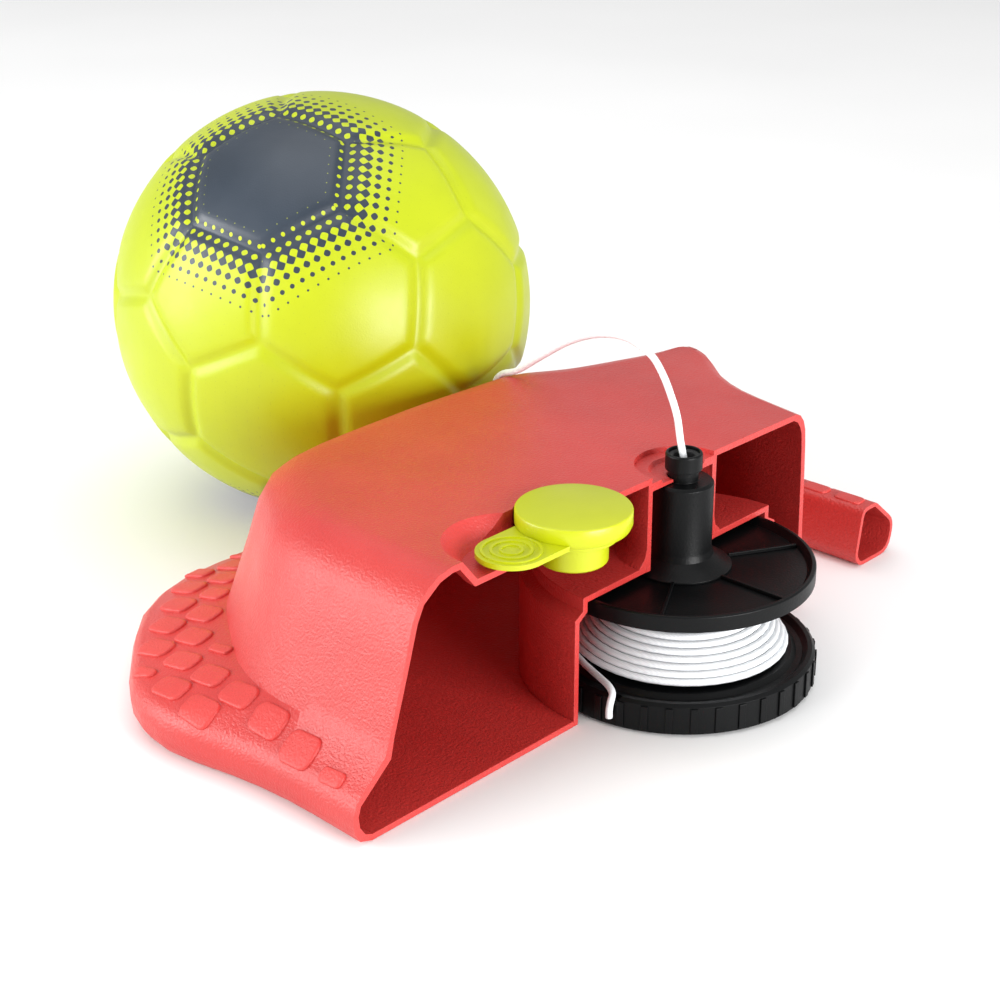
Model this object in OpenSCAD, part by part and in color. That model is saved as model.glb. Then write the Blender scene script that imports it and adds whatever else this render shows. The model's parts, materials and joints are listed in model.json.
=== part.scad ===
// Tethered ball trainer: a base to be filled with water, a cord reel under it and a ball.
// The base is a display section: the half in front of the reel's axis is cut away.
// Millimetres, +Z up. The origin is on the ground, in the middle of the set's footprint.
// +X runs along the cut face to the carry handle, +Y from the cut face to the ball.

/* [Base] */
// Height of the deck at the reel's axis
deck_height = 88.4; // [88:0.1:89]
// Fall of the deck per millimetre towards the handle
deck_slope = 0.014; // [0:0.001:0.02]
// Wall of the blown tank
wall = 2.5; // [2:0.1:2.8]
// Inner radius of the reel well's lower chamber
well_radius = 60; // [58:0.5:62]
// Inner radius of the pocket round the upper disc
pocket_radius = 55.5; // [54:0.5:56]
// Underside of the well's ceiling
ceiling_height = 50; // [50:0.1:50.5]

/* [Filler] */
// Distance from the reel's axis to the filler
filler_offset = 64.4; // [63:0.1:66]
// Floor of the recess round the filler
filler_floor = 81; // [80.5:0.1:81.5]
// Radius of the cap's lid
cap_radius = 21.6; // [19:0.1:22]
// Radius of the cap's plug
plug_radius = 12.95; // [10:0.05:14]
// Distance from the reel's axis to the pull tab's round end
tab_offset = 98; // [96:0.5:99]
// Radius of the pull tab's round end
tab_radius = 13; // [10:0.5:14]

/* [Reel] */
// Radius of the upper disc
disc_radius = 52.5; // [50:0.1:53]
// Radius of the winding dish's skirt, without its grip ribs
dish_radius = 54; // [53.5:0.1:55]
// Radius of the spindle's shaft
shaft_radius = 11.9; // [11:0.1:13]
// Radius of the cord outlet's neck
neck_radius = 7.2; // [7:0.1:8]
// Top of the neck
neck_height = 93.7; // [93:0.1:95]
// Number of ribs on the upper disc
disc_rib_count = 6; // [3:1:8]
// Number of grip ribs round the dish
grip_count = 36; // [24:1:40]

/* [Ball] */
// Radius of the ball
ball_radius = 94; // [92:0.5:95]
// Thickness of the cover panels
panel_thickness = 3; // [2.5:0.1:4]
// How far the panels stand back from the seams' middle
seam_inset = 1.1; // [0.5:0.1:1.5]
// Turns of the ball about X, Y and Z
ball_turns = [-170, -14, 7]; // [-180:1:180]

/* [Cord] */
// Diameter of the tether cord
cord_diameter = 2.8; // [2:0.1:3]

/* [Hidden] */
$fn = 96;
fine = 0.01;
red = [0.85, 0.18, 0.17];
black = [0.10, 0.11, 0.11];
lime = [0.84, 0.87, 0.08];
navy = [0.14, 0.18, 0.22];
white = [0.93, 0.94, 0.95];

// Places of the reel's axis and of the ball
spindle_at = [13, -135, 0];
ball_at = spindle_at + [30, 231, ball_radius];

// Plans of the foot and of the body from the reel's axis: the toe's end on the cut face,
// round the back, and the handle's end. Their corners pair off, so the walls can be lofted.
foot_plan = [[-178, 0], [-175, 52], [-187, 112], [-122, 184], [-58, 180], [-22, 150],
    [45, 149], [75, 166], [151, 166], [156, 95], [123, 74], [91.5, 42], [83.5, 0]];
body_plan = [[-162, 0], [-160, 45], [-158, 80], [-112, 143], [-60, 146], [-22, 147],
    [42, 144], [68, 127], [104, 104], [121, 90], [117, 73], [91, 42], [83, 0]];
// Reach of the round at each corner
foot_rounds = [0, 28, 30, 38, 20, 22, 14, 14, 28, 13, 12, 20, 0];
body_rounds = [0, 10, 24, 26, 14, 14, 13, 14, 9, 8, 8, 20, 0];
// Slope of the wall at each corner: 1 in full, 0 for the upright wall beside the handle
foot_slopes = [1, 1, 1, 1, 1, 1, 1, 1, 1, 1, 0, 0, 0];
body_slopes = [1, 1, 1, 1, 1, 1, 1, 1, 0.5, 0, 0, 0, 0];
// Levels of the foot: inset of a sloping wall, inset of an upright one, height, rise at the handle
foot_outside = [[9, 5, 0, 0], [3, 1.6, 2, 0], [0.6, 0.3, 6, 0], [0, 0, 12, 0],
    [1.5, 0, 17, 3], [4.5, 0, 20, 5]];
foot_inside = [[9, 5, wall, 0], [5.5, 3.6, 4, 0], [3.1, 2.8, 7.5, 0], [2.5, 2.5, 12, 0],
    [3.7, 2.5, 15.8, 3], [6, 2.5, 17.6, 5]];
// Levels of the body: the two insets and the height
body_outside = [[0, 0, 30], [2, 0.3, 36], [9.7, 1, 60]];
body_inside = [[2.6, 2.5, 28], [4.5, 2.8, 36], [12.2, 3.5, 60]];
// Levels of the shoulder: the two insets and the drop below the deck
shoulder_outside = [[14, 1.6, 15], [17.4, 2.2, 8.5], [22.3, 3.6, 4.4], [27, 6, 1.4], [34, 9.5, 0]];
shoulder_inside = [[16.6, 4.1, 16], [19.8, 4.7, 9.7], [24.2, 5.9, 6.6], [28, 7.8, 4],
    [34, 10.5, wall]];
round_steps = 4;

// Opening of the deck round the neck, and the sleeve under it
deck_opening = 19;
sleeve_radius = 21;
sleeve_bore = 18.5;
sleeve_top = 86.3;
ledge_height = 46;
lip_bottom = 82.9;
lip_top = 84.2;
groove_radius = 5.8;
lip_bore = groove_radius + 0.3;

// Recess of the filler cap
recess_clearance = 0.8;
lobe_radius = 17.5;
lobe_slope = 0.83;
bridge_width = 37;
lobe_wall = wall / cos(atan(lobe_slope));
lid_bottom = 83.6;
lid_top = 91.9;
plug_bottom = 70.8;
tab_bottom = 84;
tab_top = 86;

// Section of the carry handle, [across, up], with the reach of each round
handle_section = [[125, 5], [128.8, 27.4], [139, 27.4], [154.4, 14.4], [152, 0], [129, 0]];
handle_rounds = [3, 4, 1.5, 5, 7, 3];
handle_wall = 1.8;
handle_reach = 106;

// Levels of the reel
dish_bottom = 1.1;
plate_top = 13.4;
web_bottom = 44.6;
web_top = 46.6;
axle_radius = 9;
axle_bore = 7;
throat_radius = 3.6;
notch_angle = 191.4;

// Directions from the ball's middle to its dark panels, to the tether's eye and to the valve
dark_ways = [[-0.545, -0.23, 0.806], [-0.143, 0.146, -0.979]];
eye_way = [0.228, -0.836, -0.498];
valve_way = [0.369, 0.889, 0.271];
eye_reach = 99.8;
eye_ring = 3.1;
eye_wire = 1.2;
knot_ring = 2.7;
knot_start = 3.6;
knot_turns = 3;
eye_seat = 8;
valve_seat = 4;

// Route of the tether from the reel's axis: up through the neck, over the deck, down to the eye
tether_route = [[0, 0, 84], [0, 0, 90], [0.7, 2.6, 97.5], [1.2, 4.8, 106], [2.2, 8.7, 113],
    [3.7, 14.5, 120.5], [5.7, 22.3, 126], [9.4, 36.8, 128], [13.8, 54.3, 124.3],
    [18.7, 73.6, 115.5], [23.6, 93, 103], [28, 110, 91.5], [31.3, 121.5, 86.2], [34, 128, 81],
    [38.5, 133, 74], [44, 135.6, 67.5], [50.5, 136.2, 62.5], [55.2, 137, 58], [56.2, 138.6, 54.3],
    [54.8, 140.4, 51]];
// Route of the cord's end from the wound coil through the notch in the dish
tail_route = [[-43.6, 10.6, 15.3], [-45.6, 5.2, 15.2], [-48, -1, 15.2], [-50.4, -6.8, 15.1],
    [-52.4, -10.1, 14], [-54.3, -11, 12], [-55.4, -11.2, 9], [-55.5, -11.3, 5.5]];

function deck_z(x) = deck_height - deck_slope * x;
function unit(v) = v / norm(v);
function right_of(v) = [v.y, -v.x] / norm(v);
// Move of corner b that shifts both of its edges by 1 to their right
function corner_move(a, b, c) = let (u = right_of(b - a), v = right_of(c - b)) (u + v) / (1 + u * v);
function arc_point(a, b, c, s) = (1 - s) * (1 - s) * a + 2 * s * (1 - s) * b + s * s * c;
function rounded(a, b, c, reach) = [for (i = [0:round_steps])
    arc_point(b + unit(a - b) * reach, b, b + unit(c - b) * reach, i / round_steps)];

// Open plan with each corner moved in by its own inset, its ends along the cut face
function moved_plan(p, in) = let (last = len(p) - 1) [for (k = [0:last])
    p[k] + in[k] * (k == 0 ? [1, 0] : k == last ? [-1, 0] : corner_move(p[k - 1], p[k], p[k + 1]))];
function insets(slopes, level) = [for (s = slopes) s * level[0] + (1 - s) * level[1]];
function outline(plan, rounds, in) = let (p = moved_plan(plan, in), last = len(p) - 1)
    concat([p[0]], [for (k = [1:last - 1])
        each rounded(p[k - 1], p[k], p[k + 1], rounds[k] * (1 - in[k] / 120))], [p[last]]);
function foot_outline(level) = outline(foot_plan, foot_rounds, insets(foot_slopes, level));
function body_outline(level) = outline(body_plan, body_rounds, insets(body_slopes, level));
// 1 where the foot meets the handle, 0 away from it
function by_handle(p) = max(0, min(1, (p.x - 118) / 30)) * max(0, min(1, (150 - p.y) / 40));
function rings(foot, body, shoulder) = concat(
    [for (l = foot) [for (p = foot_outline(l)) [p.x, p.y, l[2] + l[3] * by_handle(p)]]],
    [for (l = body) [for (p = body_outline(l)) [p.x, p.y, l[2]]]],
    [for (l = shoulder) [for (p = body_outline(l)) [p.x, p.y, deck_z(p.x) - l[2]]]]);
// Closed outline, rounded and moved in by d
function closed_outline(p, rounds, d) = let (n = len(p),
    q = [for (k = [0:n - 1]) p[k] + d * corner_move(p[(k + n - 1) % n], p[k], p[(k + 1) % n])])
    [for (k = [0:n - 1]) each rounded(q[(k + n - 1) % n], q[k], q[(k + 1) % n],
        max(0.6, rounds[k] - d / 2))];

// Smooth curve through a route's points, n steps to a stretch
function stretch(a, b, c, d, s) =
    (2 * b + s * (c - a) + s * s * (2 * a - 5 * b + 4 * c - d) + s * s * s * (3 * b - a - 3 * c + d)) / 2;
function smooth(p, n) = let (last = len(p) - 1) concat([for (k = [0:last - 1]) for (i = [0:n - 1])
    stretch(p[max(k - 1, 0)], p[k], p[k + 1], p[min(k + 2, last)], i / n)], [p[last]]);
// Direction of the curve at point i, and a side vector carried along it without twist
function heading(q, i) = unit(q[min(i + 1, len(q) - 1)] - q[max(i - 1, 0)]);
function side(q, i) = i == 0 ? unit(cross(heading(q, 0), [0.3, 1, 0.2])) :
    let (s = side(q, i - 1), t = heading(q, i)) unit(s - t * (s * t));

// The ball's cover is laid out on a solid with 12 tips and 20 triangular sides
golden = (1 + sqrt(5)) / 2;
function about_x(v, a) = [v.x, v.y * cos(a) - v.z * sin(a), v.y * sin(a) + v.z * cos(a)];
function about_y(v, a) = [v.x * cos(a) + v.z * sin(a), v.y, v.z * cos(a) - v.x * sin(a)];
function about_z(v, a) = [v.x * cos(a) - v.y * sin(a), v.x * sin(a) + v.y * cos(a), v.z];
function turned(v) = about_z(about_y(about_x(v, ball_turns.x), ball_turns.y), ball_turns.z);
tips = [for (a = [-1, 1]) for (b = [-golden, golden]) for (v = [[0, a, b], [a, b, 0], [b, 0, a]])
    turned(v)];
function joined(i, j) = abs(norm(tips[i] - tips[j]) - 2) < fine;
triangles = [for (i = [0:9]) for (j = [i + 1:10]) if (joined(i, j)) for (k = [j + 1:11])
    if (joined(i, k) && joined(j, k))
        cross(tips[j] - tips[i], tips[k] - tips[i]) * tips[i] > 0 ? [i, j, k] : [i, k, j]];
function middle(f) = unit(tips[f[0]] + tips[f[1]] + tips[f[2]]);
function hexagon(f) = let (a = tips[f[0]], b = tips[f[1]], c = tips[f[2]])
    [2 * a + b, a + 2 * b, 2 * b + c, b + 2 * c, 2 * c + a, c + 2 * a] / 3;
function pentagon(i) = let (w = unit(tips[i]), near = [for (j = [0:11]) if (joined(i, j)) tips[j]],
    s = unit(near[0] - w * (near[0] * w)), t = cross(w, s))
    [for (k = [0:4]) each [for (v = near) if (cos(atan2(v * t, v * s) - 72 * k) > 0.98)
        (2 * tips[i] + v) / 3]];
function nearest(ways, v) = let (best = max([for (w = ways) w * v])) [for (w = ways) if (w * v == best) w][0];
middles = [for (f = triangles) middle(f)];
dark_middles = [for (v = dark_ways) nearest(middles, v)];
function is_dark(f) = len([for (m = dark_middles) if (norm(m - middle(f)) < fine) m]) > 0;
eye_at = nearest(middles, eye_way);
valve_at = nearest([for (t = tips) unit(t)], valve_way);

module at_reel() translate(spindle_at) children();
module at_filler(z) translate([-filler_offset, 0, z]) children();
module at_tab(z) translate([-tab_offset, 0, z]) children();
// Points +Z along v
module facing(v) rotate([0, acos(v.z / norm(v)), atan2(v.y, v.x)]) children();
// Everything in front of the cut face, and everything above the deck's plane or below it by d
module front_half() translate([-300, -300, -20]) cube([600, 300, 200]);
module above_deck(d) translate([0, 0, deck_height - d]) rotate([0, atan(deck_slope), 0])
    translate([-250, -50, 0]) cube([500, 300, 60]);

// Walls and deck of the tank as one skin between the outer and the inner rings
module tank_skin() {
    outer = rings(foot_outside, body_outside, shoulder_outside);
    inner = rings(foot_inside, body_inside, shoulder_inside);
    m = len(outer) - 1;
    n = len(outer[0]) - 1;
    count = (m + 1) * (n + 1);
    function o(j, i) = j * (n + 1) + i;
    function u(j, i) = count + o(j, i);
    walls = [for (j = [0:m - 1]) for (i = [0:n - 1]) each [
        [o(j, i), o(j, i + 1), o(j + 1, i + 1)], [o(j, i), o(j + 1, i + 1), o(j + 1, i)],
        [u(j, i), u(j + 1, i + 1), u(j, i + 1)], [u(j, i), u(j + 1, i), u(j + 1, i + 1)]]];
    foot = [for (i = [0:n - 1]) [o(0, i), u(0, i), u(0, i + 1), o(0, i + 1)]];
    deck = [[for (i = [0:n]) o(m, i)], [for (i = [n:-1:0]) u(m, i)]];
    cut_ends = [for (j = [0:m - 1]) each [
        [o(j, 0), o(j + 1, 0), u(j + 1, 0), u(j, 0)],
        [u(j, n), u(j + 1, n), o(j + 1, n), o(j, n)]]];
    cut_deck = [[o(m, 0), o(m, n), u(m, n), u(m, 0)]];
    polyhedron(concat([for (r = outer) each r], [for (r = inner) each r]),
        concat(walls, foot, deck, cut_ends, cut_deck));
}

// Space of the cap's recess from height z up, larger by the two allowances
module recess_space(z, lobe_grow, lid_grow) {
    h = lid_top + 4 - z;
    lobe = lobe_radius + lobe_slope * (z - filler_floor) + lobe_grow;
    bridge = bridge_width / 2 + lid_grow;
    at_tab(z) cylinder(r1 = lobe, r2 = lobe + lobe_slope * h, h = h);
    at_filler(z) cylinder(r = cap_radius + recess_clearance + lid_grow, h = h);
    at_tab(z) translate([5, -bridge, 0]) cube([tab_offset - filler_offset, 2 * bridge, h]);
}

module base_shell() color(red) at_reel() difference() {
    tank_skin();
    recess_space(filler_floor - wall, lobe_wall, wall);
    translate([0, 0, ceiling_height]) cylinder(r = deck_opening, h = 60);
}

module base_floor() color(red) at_reel() difference() {
    linear_extrude(wall) polygon(foot_outline(foot_outside[0]));
    translate([0, 0, -1]) cylinder(r = well_radius + wall, h = wall + 2);
}

module reel_well() {
    outside = well_radius + wall;
    ceiling_top = ceiling_height + wall;
    color(red) at_reel() rotate_extrude(angle = 180) polygon([[well_radius, 0], [outside, 0],
        [outside, ledge_height - 1.5], [pocket_radius + wall, ledge_height + 1],
        [pocket_radius + wall, ceiling_top], [sleeve_radius, ceiling_top],
        [sleeve_radius, ceiling_height], [pocket_radius, ceiling_height],
        [pocket_radius, ledge_height], [well_radius, ledge_height - 3]]);
}

module spindle_sleeve() color(red) at_reel() {
    ceiling_top = ceiling_height + wall;
    difference() {
        rotate_extrude(angle = 180) polygon([[sleeve_radius, ceiling_top], [sleeve_radius + 4.5, ceiling_top],
            [sleeve_radius + 1, ceiling_top + 3.5], [sleeve_radius, ceiling_top + 7.5],
            [sleeve_radius, deck_height], [deck_opening, deck_height], [deck_opening, ceiling_top + 7.5],
            [sleeve_radius - 1, ceiling_top + 3.5]]);
        above_deck(wall);
    }
    rotate_extrude(angle = 180) polygon([[sleeve_bore, ceiling_height], [sleeve_radius, ceiling_height],
        [sleeve_radius, ceiling_top], [sleeve_radius - 1, ceiling_top + 3.5],
        [deck_opening, ceiling_top + 7.5], [deck_opening, sleeve_top], [13.5, sleeve_top],
        [12.5, lip_top + 0.4], [lip_bore + 0.4, lip_top], [lip_bore, lip_top - 0.4],
        [lip_bore, lip_bottom], [sleeve_bore, lip_bottom]]);
}

module filler_recess() color(red) at_reel() difference() {
    recess_space(filler_floor - wall, lobe_wall, wall);
    recess_space(filler_floor, 0, 0);
    at_filler(filler_floor - wall - 1) cylinder(r = plug_radius + 0.07, h = wall + 2);
    above_deck(0);
    front_half();
}

module carry_handle() {
    module tube_section() difference() {
        polygon(closed_outline(handle_section, handle_rounds, 0));
        polygon(closed_outline(handle_section, handle_rounds, handle_wall));
    }
    color(red) at_reel() difference() {
        translate([0, handle_reach, 0]) rotate([90, 0, 0]) linear_extrude(handle_reach) tube_section();
        translate([0, 0, -1]) linear_extrude(40) polygon(foot_outline(foot_outside[3]));
    }
}

module filler_cap() color(lime) at_reel() at_filler(0) rotate_extrude() polygon([[0, lid_bottom],
    [cap_radius - 2.6, lid_bottom], [cap_radius - 0.8, lid_bottom + 0.8], [cap_radius, lid_bottom + 2.6],
    [cap_radius, lid_top - 0.8], [cap_radius - 0.3, lid_top - 0.2], [cap_radius - 0.9, lid_top],
    [0, lid_top]]);

module cap_plug() {
    seat = filler_floor + 0.05;
    color(lime) at_reel() at_filler(0) rotate_extrude() polygon([[plug_radius - 2.2, lid_bottom],
        [plug_radius - 2.2, plug_bottom], [plug_radius - 0.8, plug_bottom], [plug_radius, plug_bottom + 0.8],
        [plug_radius, seat], [plug_radius + 4, seat], [plug_radius + 4, lid_bottom]]);
}

module cap_tab() color(lime) at_reel() {
    difference() {
        translate([0, 0, tab_bottom]) linear_extrude(tab_top - tab_bottom) {
            at_tab(0) circle(tab_radius);
            translate([-tab_offset, -tab_radius]) square([tab_offset - filler_offset, 2 * tab_radius]);
        }
        at_filler(tab_bottom - 1) cylinder(r = cap_radius, h = 10);
    }
    at_tab(tab_top) for (r = [3.4, 6.8, 10.2]) rotate_extrude() translate([r, 0]) square([1, 0.6]);
}

module spindle() {
    shoulder = lip_bottom - 0.4;
    neck_bottom = lip_top + 2.7;
    mouth = neck_radius - 1.2;
    mouth_floor = neck_height - 4.8;
    color(black) at_reel() rotate_extrude() polygon([[axle_radius, plate_top], [axle_radius, web_top],
        [20, web_top], [20, web_top + 1], [15.6, web_top + 3.4], [shaft_radius + 0.9, web_top + 5.4],
        [shaft_radius, web_top + 8.4], [shaft_radius, shoulder - 1], [shaft_radius - 1, shoulder],
        [groove_radius, shoulder], [groove_radius, neck_bottom], [neck_radius, neck_bottom],
        [neck_radius, neck_height - 0.6], [neck_radius - 0.4, neck_height], [mouth, neck_height],
        [mouth, mouth_floor], [throat_radius, mouth_floor], [throat_radius, shoulder - 1.6],
        [shaft_radius - 2.4, shoulder - 1.6], [shaft_radius - 2.4, web_top + 8], [axle_bore, web_top + 1],
        [axle_bore, plate_top]]);
}

module cord_bush() color(black) at_reel() rotate_extrude() polygon([[4.2, neck_height - 4.2],
    [5, neck_height - 4.7], [neck_radius - 1.25, neck_height - 4.7], [neck_radius - 1.25, neck_height - 1.2],
    [4.8, neck_height - 1.2], [4.2, neck_height - 1.8]]);

module upper_disc() color(black) at_reel() rotate_extrude() polygon([[axle_radius, web_bottom],
    [disc_radius - 2.5, web_bottom], [disc_radius - 2.5, web_bottom - 1.6], [disc_radius, web_bottom - 1.6],
    [disc_radius, web_top + 2.4], [disc_radius - 0.5, web_top + 2.9], [disc_radius - 1.8, web_top + 2.9],
    [disc_radius - 3.4, web_top], [axle_radius, web_top]]);

module disc_ribs() color(black) at_reel() for (i = [0:disc_rib_count - 1])
    rotate([0, 0, 30 + 360 / disc_rib_count * i])
        translate([20, -0.6, web_top]) cube([disc_radius - 3.4 - 20, 1.2, 1.6]);

module winding_drum() {
    port_height = 30;
    color(black) at_reel() difference() {
        rotate_extrude() polygon([[23.6, plate_top], [26, plate_top], [20.4, web_bottom], [18, web_bottom]]);
        translate([0, 0, port_height]) rotate([0, 90, 0]) cylinder(r = cord_diameter * 0.7, h = 40);
    }
}

module winding_dish() {
    skirt_inside = dish_radius - 2.2;
    under = plate_top - 2.2;
    color(black) at_reel() difference() {
        rotate_extrude() polygon([[axle_bore, under], [44, under], [46, 9.4], [skirt_inside - 2, 9.4],
            [skirt_inside, 11], [skirt_inside, dish_bottom], [dish_radius, dish_bottom], [dish_radius, 12.3],
            [dish_radius - 1.2, 13.5], [dish_radius - 3, 13.5], [dish_radius - 5, 11.6], [46.6, 11.6],
            [44.8, plate_top], [axle_bore, plate_top]]);
        // Notch that leads the cord's end out over the rim
        rotate([0, 0, notch_angle]) translate([dish_radius - 5, 0, 0]) rotate([90, 0, 90])
            linear_extrude(8) polygon([[-3.2, 14], [-1.8, 10.2], [1.8, 10.2], [3.2, 14]]);
    }
}

module dish_ribs() color(black) at_reel() for (i = [0:grip_count - 1])
    rotate([0, 0, 360 / grip_count * (i + 0.35)]) rotate_extrude(angle = 3)
        translate([dish_radius, dish_bottom + 0.5]) square([0.7, 10.4]);

module cord_coil() color(white) at_reel() rotate_extrude() polygon([[26.1, plate_top], [42.6, plate_top],
    [43, 15], [42.6, 16.6], [39.8, 18.8], [27, 33.4], [22.6, 39], [21.2, 42], [20.9, 42]]);

// Cord along the points q
module cord(q) {
    sides = 8;
    last = len(q) - 1;
    points = [for (i = [0:last]) let (s = side(q, i), t = cross(heading(q, i), s)) for (j = [0:sides - 1])
        q[i] + cord_diameter / 2 * (s * cos(360 / sides * j) + t * sin(360 / sides * j))];
    tube = [for (i = [0:last - 1]) for (j = [0:sides - 1])
        let (a = i * sides + j, b = i * sides + (j + 1) % sides)
            each [[a, a + sides, b + sides], [a, b + sides, b]]];
    ends = [[for (j = [0:sides - 1]) j], [for (j = [0:sides - 1]) last * sides + sides - 1 - j]];
    polyhedron(points, concat(tube, ends));
}

module cord_tail() color(white) at_reel() cord(smooth(tail_route, 1));

module tether_cord() color(white) at_reel() cord(smooth(tether_route, 2));

// Places children along the ball's eye: +Z outwards and +X down the ball
module at_eye(reach) translate(ball_at) facing(eye_at) translate([0, 0, reach]) children();

// A loop round the eye's wire and a few turns round the cord above it
module cord_knot() color(white) at_eye(eye_reach + eye_ring) {
    rotate([90, 0, 0]) rotate_extrude() translate([knot_ring, 0]) circle(d = cord_diameter, $fn = 16);
    translate([-knot_start, 0, 0]) rotate([0, -90, 0]) for (i = [0:knot_turns - 1])
        translate([0, 0, (i + 0.5) * 1.8]) rotate_extrude() translate([1.8, 0]) circle(d = 2.2, $fn = 16);
}

module tether_eye() color(lime) {
    at_eye(ball_radius - panel_thickness) {
        cylinder(r = eye_seat - 0.05, h = panel_thickness + 0.6);
        cylinder(r1 = 4, r2 = 2.4, h = eye_reach - eye_ring - ball_radius + panel_thickness);
    }
    at_eye(eye_reach) rotate([0, 90, 0]) rotate_extrude() translate([eye_ring, 0])
        circle(eye_wire, $fn = 16);
}

// Cover panel over the corners, with its middle along m and its edges back from the seams
module panel(corners, m) {
    n = len(corners);
    points = concat([m * seam_inset], [for (c = corners) m * seam_inset + c * ball_radius]);
    intersection() {
        difference() {
            sphere(ball_radius);
            sphere(ball_radius - panel_thickness);
        }
        polyhedron(points, concat([[for (i = [n:-1:1]) i]], [for (i = [1:n]) [0, i, i % n + 1]]));
    }
}

module hexagon_panels() color(lime) difference() {
    translate(ball_at) for (f = triangles) if (!is_dark(f)) panel(hexagon(f), middle(f));
    at_eye(ball_radius - 10) cylinder(r = eye_seat, h = 20);
}

module pentagon_panels() color(lime) translate(ball_at) difference() {
    for (i = [0:len(tips) - 1]) panel(pentagon(i), unit(tips[i]));
    facing(valve_at) translate([0, 0, ball_radius - 10]) cylinder(r = valve_seat, h = 20);
}

module dark_panels() color(navy) translate(ball_at)
    for (f = triangles) if (is_dark(f)) panel(hexagon(f), middle(f));

module ball_bladder() {
    outside = ball_radius - panel_thickness - 0.2;
    color(black) translate(ball_at) difference() {
        sphere(outside);
        sphere(outside - 1.2);
        facing(valve_at) cylinder(r = 2.3, h = ball_radius);
    }
}

module inflation_valve() {
    inside = ball_radius - panel_thickness;
    color(black) translate(ball_at) facing(valve_at) difference() {
        union() {
            translate([0, 0, inside]) cylinder(r = valve_seat - 0.05, h = panel_thickness - 0.2);
            translate([0, 0, inside - 9]) cylinder(r = 2.2, h = 9);
        }
        translate([0, 0, inside - 4]) cylinder(r = 0.6, h = 10);
    }
}

base_shell();
base_floor();
reel_well();
spindle_sleeve();
filler_recess();
carry_handle();
filler_cap();
cap_plug();
cap_tab();
spindle();
cord_bush();
upper_disc();
disc_ribs();
winding_drum();
winding_dish();
dish_ribs();
cord_coil();
cord_tail();
tether_cord();
cord_knot();
tether_eye();
hexagon_panels();
pentagon_panels();
dark_panels();
ball_bladder();
inflation_valve();
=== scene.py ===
import json
import math

import bmesh
import bpy
from mathutils import Matrix, Vector
from mathutils.bvhtree import BVHTree


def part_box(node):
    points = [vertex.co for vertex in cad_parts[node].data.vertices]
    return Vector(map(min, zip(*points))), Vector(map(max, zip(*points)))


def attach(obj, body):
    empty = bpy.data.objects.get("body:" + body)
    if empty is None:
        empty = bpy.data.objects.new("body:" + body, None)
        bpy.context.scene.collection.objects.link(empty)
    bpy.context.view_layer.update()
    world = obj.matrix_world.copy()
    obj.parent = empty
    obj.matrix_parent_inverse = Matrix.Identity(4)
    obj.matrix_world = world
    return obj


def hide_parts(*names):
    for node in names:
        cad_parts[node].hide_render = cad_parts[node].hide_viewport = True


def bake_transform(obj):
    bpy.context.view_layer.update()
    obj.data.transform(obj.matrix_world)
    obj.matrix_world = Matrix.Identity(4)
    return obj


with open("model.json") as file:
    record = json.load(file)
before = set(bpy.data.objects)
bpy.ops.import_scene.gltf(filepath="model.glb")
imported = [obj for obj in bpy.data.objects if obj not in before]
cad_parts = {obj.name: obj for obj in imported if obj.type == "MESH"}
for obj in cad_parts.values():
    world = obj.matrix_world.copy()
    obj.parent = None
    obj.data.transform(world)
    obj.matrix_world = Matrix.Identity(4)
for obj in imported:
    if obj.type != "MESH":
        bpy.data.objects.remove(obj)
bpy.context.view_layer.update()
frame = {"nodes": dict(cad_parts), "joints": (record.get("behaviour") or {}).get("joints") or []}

MM = 0.001

# Places that everything else is laid out from: the reel's axis and the ball
turn = [j for j in frame["joints"] if j["name"] == "reel_turn"][0]
SPINDLE = Vector((turn["pos_m"][0], turn["pos_m"][1], 0))
ball_low, ball_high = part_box("ball_bladder")
BALL = (ball_low + ball_high) / 2
BALL_RADIUS = BALL.z


def at_reel(x, y, z):
    """A point given in millimetres from the foot of the reel's axis."""
    return SPINDLE + Vector((x, y, z)) * MM


# ---------------------------------------------------------------- camera
camera_data = bpy.data.cameras.new("camera")
camera_data.lens = 79.1
camera_data.sensor_width = 36
camera_data.clip_end = 50
camera = bpy.data.objects.new("camera", camera_data)
bpy.context.scene.collection.objects.link(camera)
camera.location = (-0.6048, -0.6040, 0.4128)
camera.rotation_euler = Vector((0.676, 0.617, -0.402)).to_track_quat("-Z", "Y").to_euler()
bpy.context.scene.camera = camera
bpy.context.scene.view_settings.view_transform = "Standard"

# ---------------------------------------------------------------- materials
# Blender's Mix node has sockets of the same name for numbers, vectors and colours. These are the colours.
MIX_A, MIX_B, MIX_RESULT = 6, 7, 2
NOISE_ROUGHNESS = 0.55
CLOUD_SCALE = 18.0       # slow colour variation on moulded plastic
GLOSS_SPREAD = 0.08      # how far its roughness varies
BRAID_WAVE = 3.2         # radians of the cord's weave in a millimetre


def linear(r, g, b):
    """A display colour, from 0 to 255, as a linear one with alpha 1."""
    shares = [c / 255 for c in (r, g, b)]
    return tuple(c / 12.92 if c <= 0.04045 else ((c + 0.055) / 1.055) ** 2.4 for c in shares) + (1,)


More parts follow.
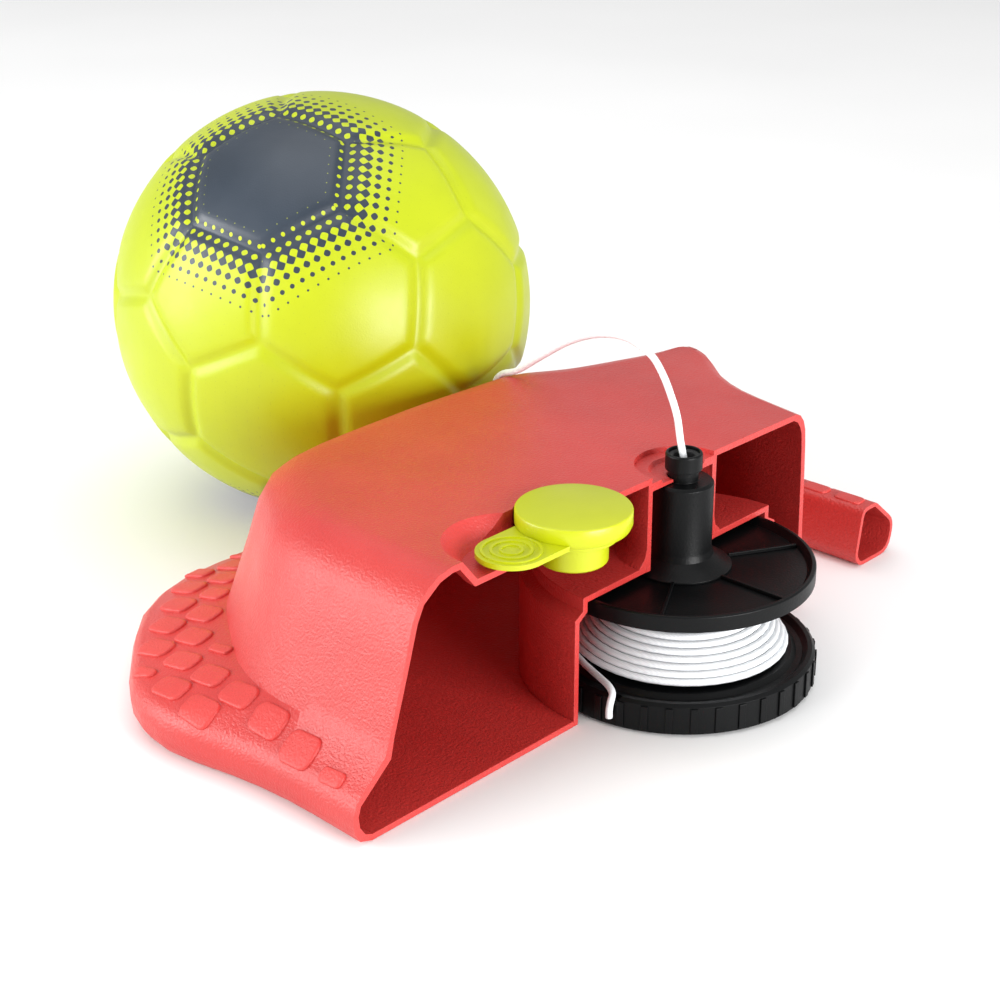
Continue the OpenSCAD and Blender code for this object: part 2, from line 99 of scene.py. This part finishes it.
class Nodes:
    """A new material, and short calls for its node tree."""

    def __init__(self, name):
        self.material = bpy.data.materials.new(name)
        self.material.use_nodes = True
        self.tree = self.material.node_tree
        self.shader = self.tree.nodes["Principled BSDF"]
        self.where = self.tree.nodes.new("ShaderNodeTexCoord").outputs["Object"]

    def put(self, socket, value):
        """Links a socket to value, or sets it to a plain number or colour."""
        if isinstance(value, bpy.types.NodeSocket):
            self.tree.links.new(value, socket)
        else:
            socket.default_value = value

    def math(self, operation, *values):
        node = self.tree.nodes.new("ShaderNodeMath")
        node.operation = operation
        for socket, value in zip(node.inputs, values):
            self.put(socket, value)
        return node.outputs[0]

    def vector(self, operation, *values):
        node = self.tree.nodes.new("ShaderNodeVectorMath")
        node.operation = operation
        for socket, value in zip(node.inputs, values):
            self.put(socket, value)
        return node.outputs["Value" if operation == "DOT_PRODUCT" else "Vector"]

    def noise(self, scale, detail=3.0):
        node = self.tree.nodes.new("ShaderNodeTexNoise")
        self.put(node.inputs["Vector"], self.where)
        node.inputs["Scale"].default_value = scale
        node.inputs["Detail"].default_value = detail
        node.inputs["Roughness"].default_value = NOISE_ROUGHNESS
        return node.outputs["Fac"]

    def ramp(self, value, low, high, a, b):
        """value from low..high to a..b."""
        node = self.tree.nodes.new("ShaderNodeMapRange")
        for socket, v in zip(node.inputs, (value, low, high, a, b)):
            self.put(socket, v)
        return node.outputs[0]

    def mix(self, factor, a, b):
        node = self.tree.nodes.new("ShaderNodeMix")
        node.data_type = "RGBA"
        self.put(node.inputs["Factor"], factor)
        self.put(node.inputs[MIX_A], a)
        self.put(node.inputs[MIX_B], b)
        return node.outputs[MIX_RESULT]

    def bump(self, height, distance, strength):
        node = self.tree.nodes.new("ShaderNodeBump")
        node.inputs["Strength"].default_value = strength
        node.inputs["Distance"].default_value = distance
        self.put(node.inputs["Height"], height)
        self.put(self.shader.inputs["Normal"], node.outputs["Normal"])


def moulded(name, dark, light, rough, grain, depth):
    """Moulded plastic: slow colour variation, a fine grain, and gloss that varies too."""
    n = Nodes(name)
    slow = n.noise(CLOUD_SCALE, 4.0)
    fine = n.noise(grain, 2.0)
    n.put(n.shader.inputs["Base Color"], n.mix(n.ramp(slow, 0.35, 0.65, 0.0, 1.0), dark, light))
    n.put(n.shader.inputs["Roughness"],
          n.ramp(n.noise(CLOUD_SCALE * 3), 0.3, 0.7, rough - GLOSS_SPREAD / 2, rough + GLOSS_SPREAD / 2))
    n.bump(fine, depth, 0.7)
    return n


red = moulded("red_moulded", linear(190, 52, 49), linear(198, 59, 55), 0.36, 1000, 0.0005)
red_tread = moulded("red_tread", linear(200, 58, 54), linear(210, 68, 63), 0.45, 1000, 0.0005)
black = moulded("black_moulded", linear(4, 5, 6), linear(8, 9, 10), 0.4, 1100, 0.0001)
lime = moulded("lime_moulded", linear(174, 182, 4), linear(184, 191, 10), 0.36, 1000, 0.00008)
rubber = moulded("black_rubber", linear(26, 26, 27), linear(34, 34, 35), 0.7, 1400, 0.0002)

# The reel shines less than the other plastics
black.shader.inputs["Specular IOR Level"].default_value = 0.18


def braid(name):
    """Braided white cord: diagonal strands from two crossed sets of waves, with painted shade in the
    weave's low grooves.
    """
    n = Nodes(name)
    part = n.tree.nodes.new("ShaderNodeSeparateXYZ")
    n.put(part.inputs[0], n.vector("MULTIPLY", n.where, (1 / MM,) * 3))
    x, y, z = part.outputs
    up_right = n.math("ADD", n.math("ADD", x, y), z)
    up_left = n.math("SUBTRACT", n.math("SUBTRACT", x, y), z)
    first = n.math("SINE", n.math("MULTIPLY", up_right, BRAID_WAVE))
    second = n.math("SINE", n.math("MULTIPLY", up_left, BRAID_WAVE))
    height = n.math("MULTIPLY", first, second)
    # The colour follows the weave's height, darker where it is low: painted shade in the grooves between
    # strands.
    n.put(n.shader.inputs["Base Color"],
          n.mix(n.ramp(height, -1.0, 1.0, 0.0, 1.0), linear(222, 225, 228), linear(238, 240, 242)))
    n.put(n.shader.inputs["Roughness"], n.ramp(n.noise(300), 0.3, 0.7, 0.5, 0.62))
    n.bump(height, 0.00005, 0.4)
    return n


cord_white = braid("cord_braid")

# ---------------------------------------------------------------- cords
# In millimetres from the foot of the reel's axis. The two routes are part.scad's own, and the cone's
# points follow the strands' middles up the side of its cord_coil.
TETHER_ROUTE = [
    (0, 0, 84), (0, 0, 90), (0.7, 2.6, 97.5), (1.2, 4.8, 106), (2.2, 8.7, 113),
    (3.7, 14.5, 120.5), (5.7, 22.3, 126), (9.4, 36.8, 128), (13.8, 54.3, 124.3),
    (18.7, 73.6, 115.5), (23.6, 93, 103), (28, 110, 91.5), (31.3, 121.5, 86.2), (34, 128, 81),
    (38.5, 133, 74), (44, 135.6, 67.5), (50.5, 136.2, 62.5), (55.2, 137, 58), (56.2, 138.6, 54.3),
    (54.8, 140.4, 51)]
TAIL_ROUTE = [
    (-43.6, 10.6, 15.3), (-45.6, 5.2, 15.2), (-48, -1, 15.2), (-50.4, -6.8, 15.1),
    (-52.4, -10.1, 14), (-54.3, -11, 12), (-55.4, -11.2, 9), (-55.5, -11.3, 5.5)]
CONE = [(42.4, 15.3), (40.4, 18.5), (28.2, 32.4), (23.9, 38.2), (22.9, 41.2)]     # radius, height
CORD = 2.8 * MM
STRAND_PITCH = 2.92      # from strand to strand up the cone's side
POINTS_A_TURN = 40
LEVEL_TURN = 0.35        # how much of the first turn lies on the dish before the cord climbs
JOIN_RADIUS = 44.0       # the tail's own radius, which the first half turn eases into
JOIN_TURN = 0.5


def smooth_route(points, steps):
    """A curve through the points, with the same formula as the solids'."""
    out = []
    last = len(points) - 1
    for k in range(last):
        a, b = points[max(k - 1, 0)], points[k]
        c, d = points[k + 1], points[min(k + 2, last)]
        for i in range(steps):
            s = i / steps
            out.append((2 * b + s * (c - a) + s * s * (2 * a - 5 * b + 4 * c - d)
                        + s ** 3 * (3 * b - a - 3 * c + d)) / 2)
    return out + [points[-1]]


def link(obj):
    bpy.context.scene.collection.objects.link(obj)
    return obj


def to_object(name, bm, nodes):
    """A new object with bm's mesh and one material."""
    mesh = bpy.data.meshes.new(name)
    bm.to_mesh(mesh)
    bm.free()
    mesh.materials.append(nodes.material)
    return link(bpy.data.objects.new(name, mesh))


def tube(name, path, radius, sides, nodes):
    """A closed round tube along the path."""
    bm = bmesh.new()
    way = (path[1] - path[0]).normalized()
    side = way.cross(Vector((0.3, 1, 0.2))).normalized()     # any direction that isn't along the path
    rings = []
    for i, p in enumerate(path):
        way = (path[min(i + 1, len(path) - 1)] - path[max(i - 1, 0)]).normalized()
        side = (side - way * side.dot(way)).normalized()
        up = way.cross(side)
        rings.append([bm.verts.new(p + radius * (side * math.cos(a) + up * math.sin(a)))
                      for a in (2 * math.pi * j / sides for j in range(sides))])
    for a, b in zip(rings, rings[1:]):
        for j in range(sides):
            bm.faces.new((a[j], a[(j + 1) % sides], b[(j + 1) % sides], b[j]))
    bm.faces.new(rings[0][::-1])
    bm.faces.new(rings[-1])
    bmesh.ops.recalc_face_normals(bm, faces=bm.faces)
    for f in bm.faces:
        f.smooth = len(f.verts) == 4
    return to_object(name, bm, nodes)


def along_cone(s):
    """Radius and height s millimetres up the cone's side from its foot."""
    for (r0, z0), (r1, z1) in zip(CONE, CONE[1:]):
        step = math.hypot(r1 - r0, z1 - z0)
        if s <= step:
            return r0 + (r1 - r0) * s / step, z0 + (z1 - z0) * s / step
        s -= step
    return CONE[-1]


# The free length, from the neck's mouth to the ball's eye
tether_path = smooth_route([at_reel(*p) for p in TETHER_ROUTE], steps=4)
tether = tube("tether", tether_path, CORD / 2, sides=14, nodes=cord_white)

# The wound length: a spiral down the cone of cord, then the tail out through the dish's notch
cone_side = sum(math.hypot(b[0] - a[0], b[1] - a[1]) for a, b in zip(CONE, CONE[1:]))
tail_start = math.atan2(TAIL_ROUTE[0][1], TAIL_ROUTE[0][0])
turns = cone_side / STRAND_PITCH
wound = []
for i in range(int(turns * POINTS_A_TURN), 0, -1):
    turned = i / POINTS_A_TURN
    r, z = along_cone((turned - LEVEL_TURN) * STRAND_PITCH if turned > LEVEL_TURN else 0)
    a = tail_start - 2 * math.pi * turned
    pull = min(1, turned / JOIN_TURN)
    r = r + (JOIN_RADIUS - r) * (1 - pull)
    wound.append(at_reel(r * math.cos(a), r * math.sin(a), z))
wound += smooth_route([at_reel(*p) for p in TAIL_ROUTE], steps=3)
coil = tube("wound_cord", wound, CORD / 2, sides=10, nodes=cord_white)
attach(coil, "reel")
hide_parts("cord_coil", "cord_tail")

# ---------------------------------------------------------------- moulded parts
WELD = 0.00001           # corners closer than this are one
FLAT_ANGLE = math.radians(0.4)
EDGE_ANGLE = math.radians(32)


def skin(node, nodes, body, bevel):
    """A copy of a CAD node with welded, smooth-shaded faces and an edge radius of bevel millimetres."""
    mesh = frame["nodes"][node].data.copy()
    bm = bmesh.new()
    bm.from_mesh(mesh)
    bmesh.ops.remove_doubles(bm, verts=bm.verts, dist=WELD)
    bmesh.ops.dissolve_limit(bm, angle_limit=FLAT_ANGLE, verts=bm.verts, edges=bm.edges)
    bmesh.ops.triangulate(bm, faces=[f for f in bm.faces if len(f.verts) > 4])
    for f in bm.faces:
        f.smooth = True
    for e in bm.edges:
        e.smooth = len(e.link_faces) == 2 and e.calc_face_angle(0) < EDGE_ANGLE
    bm.to_mesh(mesh)
    bm.free()
    if "custom_normal" in mesh.attributes:
        mesh.attributes.remove(mesh.attributes["custom_normal"])
    mesh.materials.clear()
    mesh.materials.append(nodes.material)
    piece = link(bpy.data.objects.new(node + "_skin", mesh))
    if bevel:
        edge = piece.modifiers.new("edge", "BEVEL")
        edge.width = bevel * MM
        edge.segments = 2
        edge.limit_method = "ANGLE"
        edge.angle_limit = EDGE_ANGLE
        edge.harden_normals = True
        edge.use_clamp_overlap = True
    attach(piece, body)
    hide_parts(node)
    return piece


shell = skin("base_shell", red, "base", 0.5)
for node in ("base_floor", "reel_well", "spindle_sleeve", "filler_recess", "carry_handle"):
    skin(node, red, "base", 0.3)
for node in ("filler_cap", "cap_plug", "cap_tab"):
    skin(node, lime, "cap", 0.3)
for node in ("spindle", "upper_disc", "disc_ribs", "winding_drum", "winding_dish", "dish_ribs"):
    skin(node, black, "reel", 0.25)
skin("cord_bush", rubber, "reel", 0.15)
skin("tether_eye", lime, "ball", 0.15)
skin("inflation_valve", rubber, "ball", 0.15)
skin("ball_bladder", rubber, "ball", 0)

# ---------------------------------------------------------------- treads
# Everything here is in millimetres from the foot of the reel's axis
RAY_TOP = 60             # rays fall from here onto the surface
LOWEST, HIGHEST = 9.5, 40                 # where a pad may stand
LEVEL_ENOUGH = 0.34      # least upward share of the surface's normal under a pad
CORNER, CORNER_STEPS = 3.2, 3
TREAD_LEVELS = ((1.0, -0.4), (1.0, 0.0), (0.985, 0.55), (0.93, 0.9), (0.82, 1.0), (0.4, 1.0))
TREAD_PITCH_X, TREAD_PITCH_Y = 12.2, 19.5
TREAD_SHARES = ((1, 1), (0.8, 0.85), (0.6, 0.8), (0.45, 0.7), (0.4, 0.45))        # sizes to try
TOE_X, TOE_Y, TOE_WIDE, TOE_LONG, TOE_RISE = -171.8, 20.7, 10, 15.5, 1.1
TOE_CUT = 8.5            # no pad's middle is nearer the cut face than this
TOE_LEAN = 0.16          # columns lean this much with the distance from the cut face
GRIP_COLUMNS = ((134.6, 11, 7.0), (144.6, 19.5, 7.5))                    # x, first y, width
GRIP_ROWS, GRIP_PITCH, GRIP_LONG, GRIP_RISE = 6, 17.5, 13.5, 0.7


def surface_tree(mesh):
    bm = bmesh.new()
    bm.from_mesh(mesh)
    tree = BVHTree.FromBMesh(bm)
    bm.free()
    return tree


def tread(bm, tree, x, y, wide, long, rise):
    """One raised pad with a rounded outline and a domed edge, set on the surface under it.

    Nothing is made, and the answer is False, where the whole outline doesn't find such a surface.
    """
    corner = min(CORNER, wide / 3)
    outline = []
    for k in range(4):
        cx = (wide / 2 - corner) * (1 if k in (0, 3) else -1)
        cy = (long / 2 - corner) * (1 if k in (0, 1) else -1)
        for i in range(CORNER_STEPS + 1):
            a = math.pi / 2 * (k + i / CORNER_STEPS)
            outline.append((cx + corner * math.cos(a), cy + corner * math.sin(a)))
    rings = []
    for share, lift in TREAD_LEVELS:
        ring = []
        for px, py in outline:
            spot, normal, _, _ = tree.ray_cast(at_reel(x + px * share, y + py * share, RAY_TOP),
                                               Vector((0, 0, -1)))
            if spot is None or not LOWEST * MM < spot.z < HIGHEST * MM or normal.z < LEVEL_ENOUGH:
                return False
            ring.append(spot + normal * (lift * rise * MM))
        rings.append(ring)
    made = [[bm.verts.new(p) for p in ring] for ring in rings]
    n = len(outline)
    for a, b in zip(made, made[1:]):
        for i in range(n):
            bm.faces.new((a[i], a[(i + 1) % n], b[(i + 1) % n], b[i]))
    bm.faces.new(made[-1])
    bm.faces.new(made[0][::-1])
    return True


def finish_treads(name, bm):
    bmesh.ops.remove_doubles(bm, verts=bm.verts, dist=WELD / 2)
    bmesh.ops.recalc_face_normals(bm, faces=bm.faces)
    for f in bm.faces:
        f.smooth = True
    piece = to_object(name, bm, red_tread)
    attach(piece, "base")


shell_tree = surface_tree(shell.data)
toe = bmesh.new()
for column in range(-6, 9):
    for row in range(-1, 10):
        x = TOE_X + column * TREAD_PITCH_X
        y = TOE_Y + row * TREAD_PITCH_Y + (TREAD_PITCH_Y / 4 if column % 2 else -TREAD_PITCH_Y / 4)
        shift = TOE_LEAN * (y - 20)
        for wide, long in TREAD_SHARES if y > TOE_CUT else ():
            if tread(toe, shell_tree, x + shift, y, TOE_WIDE * wide, TOE_LONG * long, TOE_RISE):
                break
finish_treads("toe_treads", toe)

handle_tree = surface_tree(frame["nodes"]["carry_handle"].data)
grip = bmesh.new()
for row in range(GRIP_ROWS):
    for x, first, wide in GRIP_COLUMNS:
        tread(grip, handle_tree, x, first + row * GRIP_PITCH, wide, GRIP_LONG, GRIP_RISE)
finish_treads("handle_treads", grip)

# ---------------------------------------------------------------- ball
# Twelve tips of an icosahedron, cut off at a third of each edge: 20 six-sided and 12 five-sided panels
GOLDEN = (1 + math.sqrt(5)) / 2
TIPS = range(12)
HEXAGONS, PENTAGONS = range(20), range(20, 32)
turn_ball = (Matrix.Rotation(math.radians(7), 3, "Z") @ Matrix.Rotation(math.radians(-14), 3, "Y")
             @ Matrix.Rotation(math.radians(-170), 3, "X"))
tips = [turn_ball @ Vector(v) for a in (-1, 1) for b in (-GOLDEN, GOLDEN)
        for v in ((0, a, b), (a, b, 0), (b, 0, a))]


def joined(i, j):
    """Whether an edge, which is 2 long, runs between two tips."""
    return abs((tips[i] - tips[j]).length - 2) < 0.01


panels = []
for i, j, k in [(i, j, k) for i in TIPS for j in range(i + 1, 12) for k in range(j + 1, 12)
                if joined(i, j) and joined(j, k) and joined(i, k)]:
    a, b, c = tips[i], tips[j], tips[k]
    panels.append([(2 * a + b) / 3, (a + 2 * b) / 3, (2 * b + c) / 3, (b + 2 * c) / 3,
                   (2 * c + a) / 3, (c + 2 * a) / 3])
for i in TIPS:
    w = tips[i].normalized()
    near = [tips[j] for j in TIPS if joined(i, j)]
    s = (near[0] - w * near[0].dot(w)).normalized()
    t = w.cross(s)
    near.sort(key=lambda v: math.atan2(v.dot(t), v.dot(s)))
    panels.append([(2 * tips[i] + v) / 3 for v in near])
middles = [sum(p, Vector()).normalized() for p in panels]


def nearest(way, indices):
    """Which of those panels faces that way most."""
    return max(indices, key=lambda n: middles[n].dot(Vector(way)))


dark = [nearest((-0.545, -0.23, 0.806), HEXAGONS), nearest((-0.143, 0.146, -0.979), HEXAGONS)]
eye_panel = nearest((0.228, -0.836, -0.498), HEXAGONS)
# From a six-sided panel's middle to the middle of its side
HEX_ANGLE = math.acos(middles[0].dot(((panels[0][0] + panels[0][1]) / 2).normalized()))
DOT_PITCH = 4.8          # millimetres on the ball
SOLID_TO, BARE_FROM = -8.0, 26.0          # where the ink is whole and where it ends, past the side


def ball_cover():
    """Lime cover with a halftone edge of navy dots round each dark panel."""
    n = Nodes("ball_cover")
    out = n.vector("NORMALIZE", n.vector("SUBTRACT", n.where, tuple(BALL)))
    sixth = math.pi / 3
    wave_number = 2 * math.pi / DOT_PITCH
    darkness = None
    for index in dark:
        w = middles[index]
        edge = ((panels[index][0] + panels[index][1]) / 2).normalized()
        s = (edge - w * edge.dot(w)).normalized()
        a, b, c = (n.vector("DOT_PRODUCT", out, tuple(v)) for v in (s, w.cross(s), w))
        # Round the panel's middle, folded onto one of its six sides
        angle = n.math("ARCTAN2", b, a)
        side = n.math("ROUND", n.math("DIVIDE", angle, sixth))
        fold = n.math("SUBTRACT", angle, n.math("MULTIPLY", side, sixth))
        reach = n.math("SQRT", n.math("ADD", n.math("MULTIPLY", a, a), n.math("MULTIPLY", b, b)))
        # Millimetres along that side, and beyond it
        along = n.math("MULTIPLY", n.math("MULTIPLY", reach, n.math("SINE", fold)), BALL_RADIUS / MM)
        across = n.math("MULTIPLY", reach, n.math("COSINE", fold))
        past = n.math("SUBTRACT", n.math("MULTIPLY", across, math.cos(HEX_ANGLE)),
                      n.math("MULTIPLY", c, math.sin(HEX_ANGLE)))
        beyond = n.math("MULTIPLY", n.math("ARCSINE", past), BALL_RADIUS / MM)
        # Dots, which shrink away from the panel
        dots = n.math("ADD", n.math("COSINE", n.math("MULTIPLY", along, wave_number)),
                      n.math("COSINE", n.math("MULTIPLY", beyond, wave_number)))
        wave = n.math("MULTIPLY", dots, 0.5)
        near_side = n.ramp(c, 0.0, 0.05, 0.0, 1.0)
        level = n.ramp(beyond, SOLID_TO, BARE_FROM, -1.06, 1.0)
        ink = n.ramp(n.math("SUBTRACT", wave, level), -0.02, 0.06, 0.0, 1.0)
        ink = n.math("MULTIPLY", ink, near_side)
        darkness = ink if darkness is None else n.math("MAXIMUM", darkness, ink)
    slow = n.ramp(n.noise(14, 4.0), 0.35, 0.65, 0.0, 1.0)
    yellow = n.mix(slow, linear(172, 186, 3), linear(181, 194, 8))
    navy = n.mix(slow, linear(38, 48, 60), linear(48, 58, 70))
    n.put(n.shader.inputs["Base Color"], n.mix(darkness, yellow, navy))
    n.put(n.shader.inputs["Roughness"], n.ramp(n.noise(60), 0.3, 0.7, 0.34, 0.44))
    n.bump(n.noise(1500, 2.0), 0.0001, 0.5)
    return n


cover = ball_cover()
SEAM_DEPTH, SEAM_WIDTH, COVER, GAP_BEHIND = 2.0 * MM, 5.6 * MM, 2.6 * MM, 0.2 * MM
PANEL_ROWS, CROWDING = 14, 1.7            # rows crowd towards the seams, where the surface turns fastest
ROW_SHARES = [1 - (1 - i / PANEL_ROWS) ** CROWDING for i in range(PANEL_ROWS + 1)]
INNER_RADIUS = BALL_RADIUS - COVER - GAP_BEHIND


def panel_patch(bm, corners, middle):
    """One puffed panel: round at its edges, where it drops into the seams, and closed behind."""
    corners = [c.normalized() for c in corners]
    n = len(corners)
    walls = [corners[i].cross(corners[(i + 1) % n]).normalized() for i in range(n)]
    walls = [w if w.dot(middle) > 0 else -w for w in walls]
    made = {}

    def vert(v):
        """The outer and the inner point along v."""
        v = v.normalized()
        key = tuple(round(x, 6) for x in v)
        if key not in made:
            from_seam = min(BALL_RADIUS * math.asin(max(-1, min(1, v.dot(w)))) for w in walls)
            s = max(0.0, min(1.0, from_seam / SEAM_WIDTH))
            drop = SEAM_DEPTH * (1 + math.cos(math.pi * s)) / 2
            made[key] = (bm.verts.new(BALL + v * (BALL_RADIUS - drop)),
                         bm.verts.new(BALL + v * INNER_RADIUS))
        return made[key]

    border = []
    for k in range(n):
        a, b = corners[k], corners[(k + 1) % n]
        grid = []
        for i, share in enumerate(ROW_SHARES):
            line = []
            for j in range(i + 1):
                edge = a.lerp(b, j / i) if i else middle
                line.append(vert(middle.lerp(edge, share)))
            grid.append(line)
        for i in range(PANEL_ROWS):
            for j in range(i + 1):
                for layer, order in ((0, 1), (1, -1)):
                    apex = grid[i][j][layer]
                    left, right = grid[i + 1][j][layer], grid[i + 1][j + 1][layer]
                    bm.faces.new((apex, left, right)[::order])
                    if j < i:
                        bm.faces.new((apex, right, grid[i][j + 1][layer])[::order])
        border += grid[PANEL_ROWS][:-1]
    for i in range(len(border)):
        (a, c), (b, d) = border[i], border[(i + 1) % len(border)]
        if a is not b:
            bm.faces.new((a, c, d, b))


def ball_piece(name, indices, node):
    bm = bmesh.new()
    for index in indices:
        panel_patch(bm, panels[index], middles[index])
    bmesh.ops.recalc_face_normals(bm, faces=bm.faces)
    for f in bm.faces:
        f.smooth = True
    for e in bm.edges:
        e.smooth = len(e.link_faces) == 2 and e.calc_face_angle(0) < math.radians(60)
    piece = to_object(name, bm, cover)
    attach(piece, "ball")
    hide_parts(node)


ball_piece("six_sided_panels", [i for i in HEXAGONS if i not in dark], "hexagon_panels")
ball_piece("five_sided_panels", PENTAGONS, "pentagon_panels")
ball_piece("dark_cover_panels", dark, "dark_panels")

# ---------------------------------------------------------------- tether and knot
EYE_REACH, EYE_RING = 99.8 * MM, 3.1 * MM                # from ball's to ring's middle, ring's radius
LOOP_RADIUS, LOOP_POINTS = 2.7 * MM, 24
KNOT_START, KNOT_GAP, KNOT_LENGTH = 3.6 * MM, 0.6, 5.2   # the last two in millimetres
KNOT_RADIUS, KNOT_CORD = 1.9 * MM, 1.1 * MM
KNOT_TURNS, KNOT_POINTS_A_TURN = 3, 18
KNOT_STEPS = KNOT_TURNS * KNOT_POINTS_A_TURN
eye_way = middles[eye_panel]
eye_turn = (Matrix.Rotation(math.atan2(eye_way.y, eye_way.x), 3, "Z")
            @ Matrix.Rotation(math.acos(eye_way.z), 3, "Y"))


def at_eye(x, y, z):
    """A point given in metres from the outermost point of the eye's ring, with z out of the ball."""
    return BALL + eye_turn @ Vector((x, y, z + EYE_REACH + EYE_RING))


# A loop round the eye's wire, and three turns round the cord above it
loop = [at_eye(LOOP_RADIUS * math.cos(a), 0, LOOP_RADIUS * math.sin(a))
        for a in (math.pi * 2 * i / LOOP_POINTS - math.pi for i in range(LOOP_POINTS))]
wraps = [at_eye(-KNOT_START - (KNOT_GAP + KNOT_LENGTH * i / KNOT_STEPS) * MM,
                KNOT_RADIUS * math.sin(2 * math.pi * i / KNOT_POINTS_A_TURN),
                KNOT_RADIUS * math.cos(2 * math.pi * i / KNOT_POINTS_A_TURN))
         for i in range(KNOT_STEPS + 1)]
knot = tube("tether_knot", wraps, KNOT_CORD, sides=10, nodes=cord_white)
hitch = tube("tether_loop", loop, CORD / 2, sides=10, nodes=cord_white)
for piece in (knot, hitch):
    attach(piece, "ball")
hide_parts("cord_knot")
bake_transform(tether)
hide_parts("tether_cord")


# ---------------------------------------------------------------- floor and light
FLOOR_HALF = 6
FLOOR_DROP = 0.0002      # just under the object's foot


def paper():
    n = Nodes("pale_floor")
    n.put(n.shader.inputs["Base Color"],
          n.mix(n.ramp(n.noise(3, 2.0), 0.3, 0.7, 0.0, 1.0), linear(246, 246, 246), linear(250, 250, 250)))
    n.shader.inputs["Roughness"].default_value = 0.9
    return n


def softbox(name, place, target, size, power):
    data = bpy.data.lights.new(name, "AREA")
    data.shape = "SQUARE"
    data.size = size
    data.energy = power
    lamp = link(bpy.data.objects.new(name, data))
    lamp.location = place
    lamp.rotation_euler = (Vector(target) - Vector(place)).to_track_quat("-Z", "Y").to_euler()


ground = bmesh.new()
bmesh.ops.create_grid(ground, x_segments=8, y_segments=8, size=FLOOR_HALF)
floor = to_object("floor", ground, paper())
floor.location = (0, 0, -FLOOR_DROP)

world = bpy.data.worlds.new("studio")
bpy.context.scene.world = world
world.use_nodes = True
background = world.node_tree.nodes["Background"]
background.inputs["Color"].default_value = (1, 1, 1, 1)
background.inputs["Strength"].default_value = 0.6

softbox("key", (-1.5, 0.25, 0.75), (0, 0, 0.06), 0.8, 8)
softbox("top", (0.2, 0.2, 1.8), (0, 0, 0), 1.6, 12)
softbox("front", (-0.1, -1.3, 0.22), (-0.05, -0.1, 0.03), 0.7, 22)
softbox("sheen", (-1.3, 1.1, 0.5), (-0.1, -0.05, 0.06), 0.9, 21)
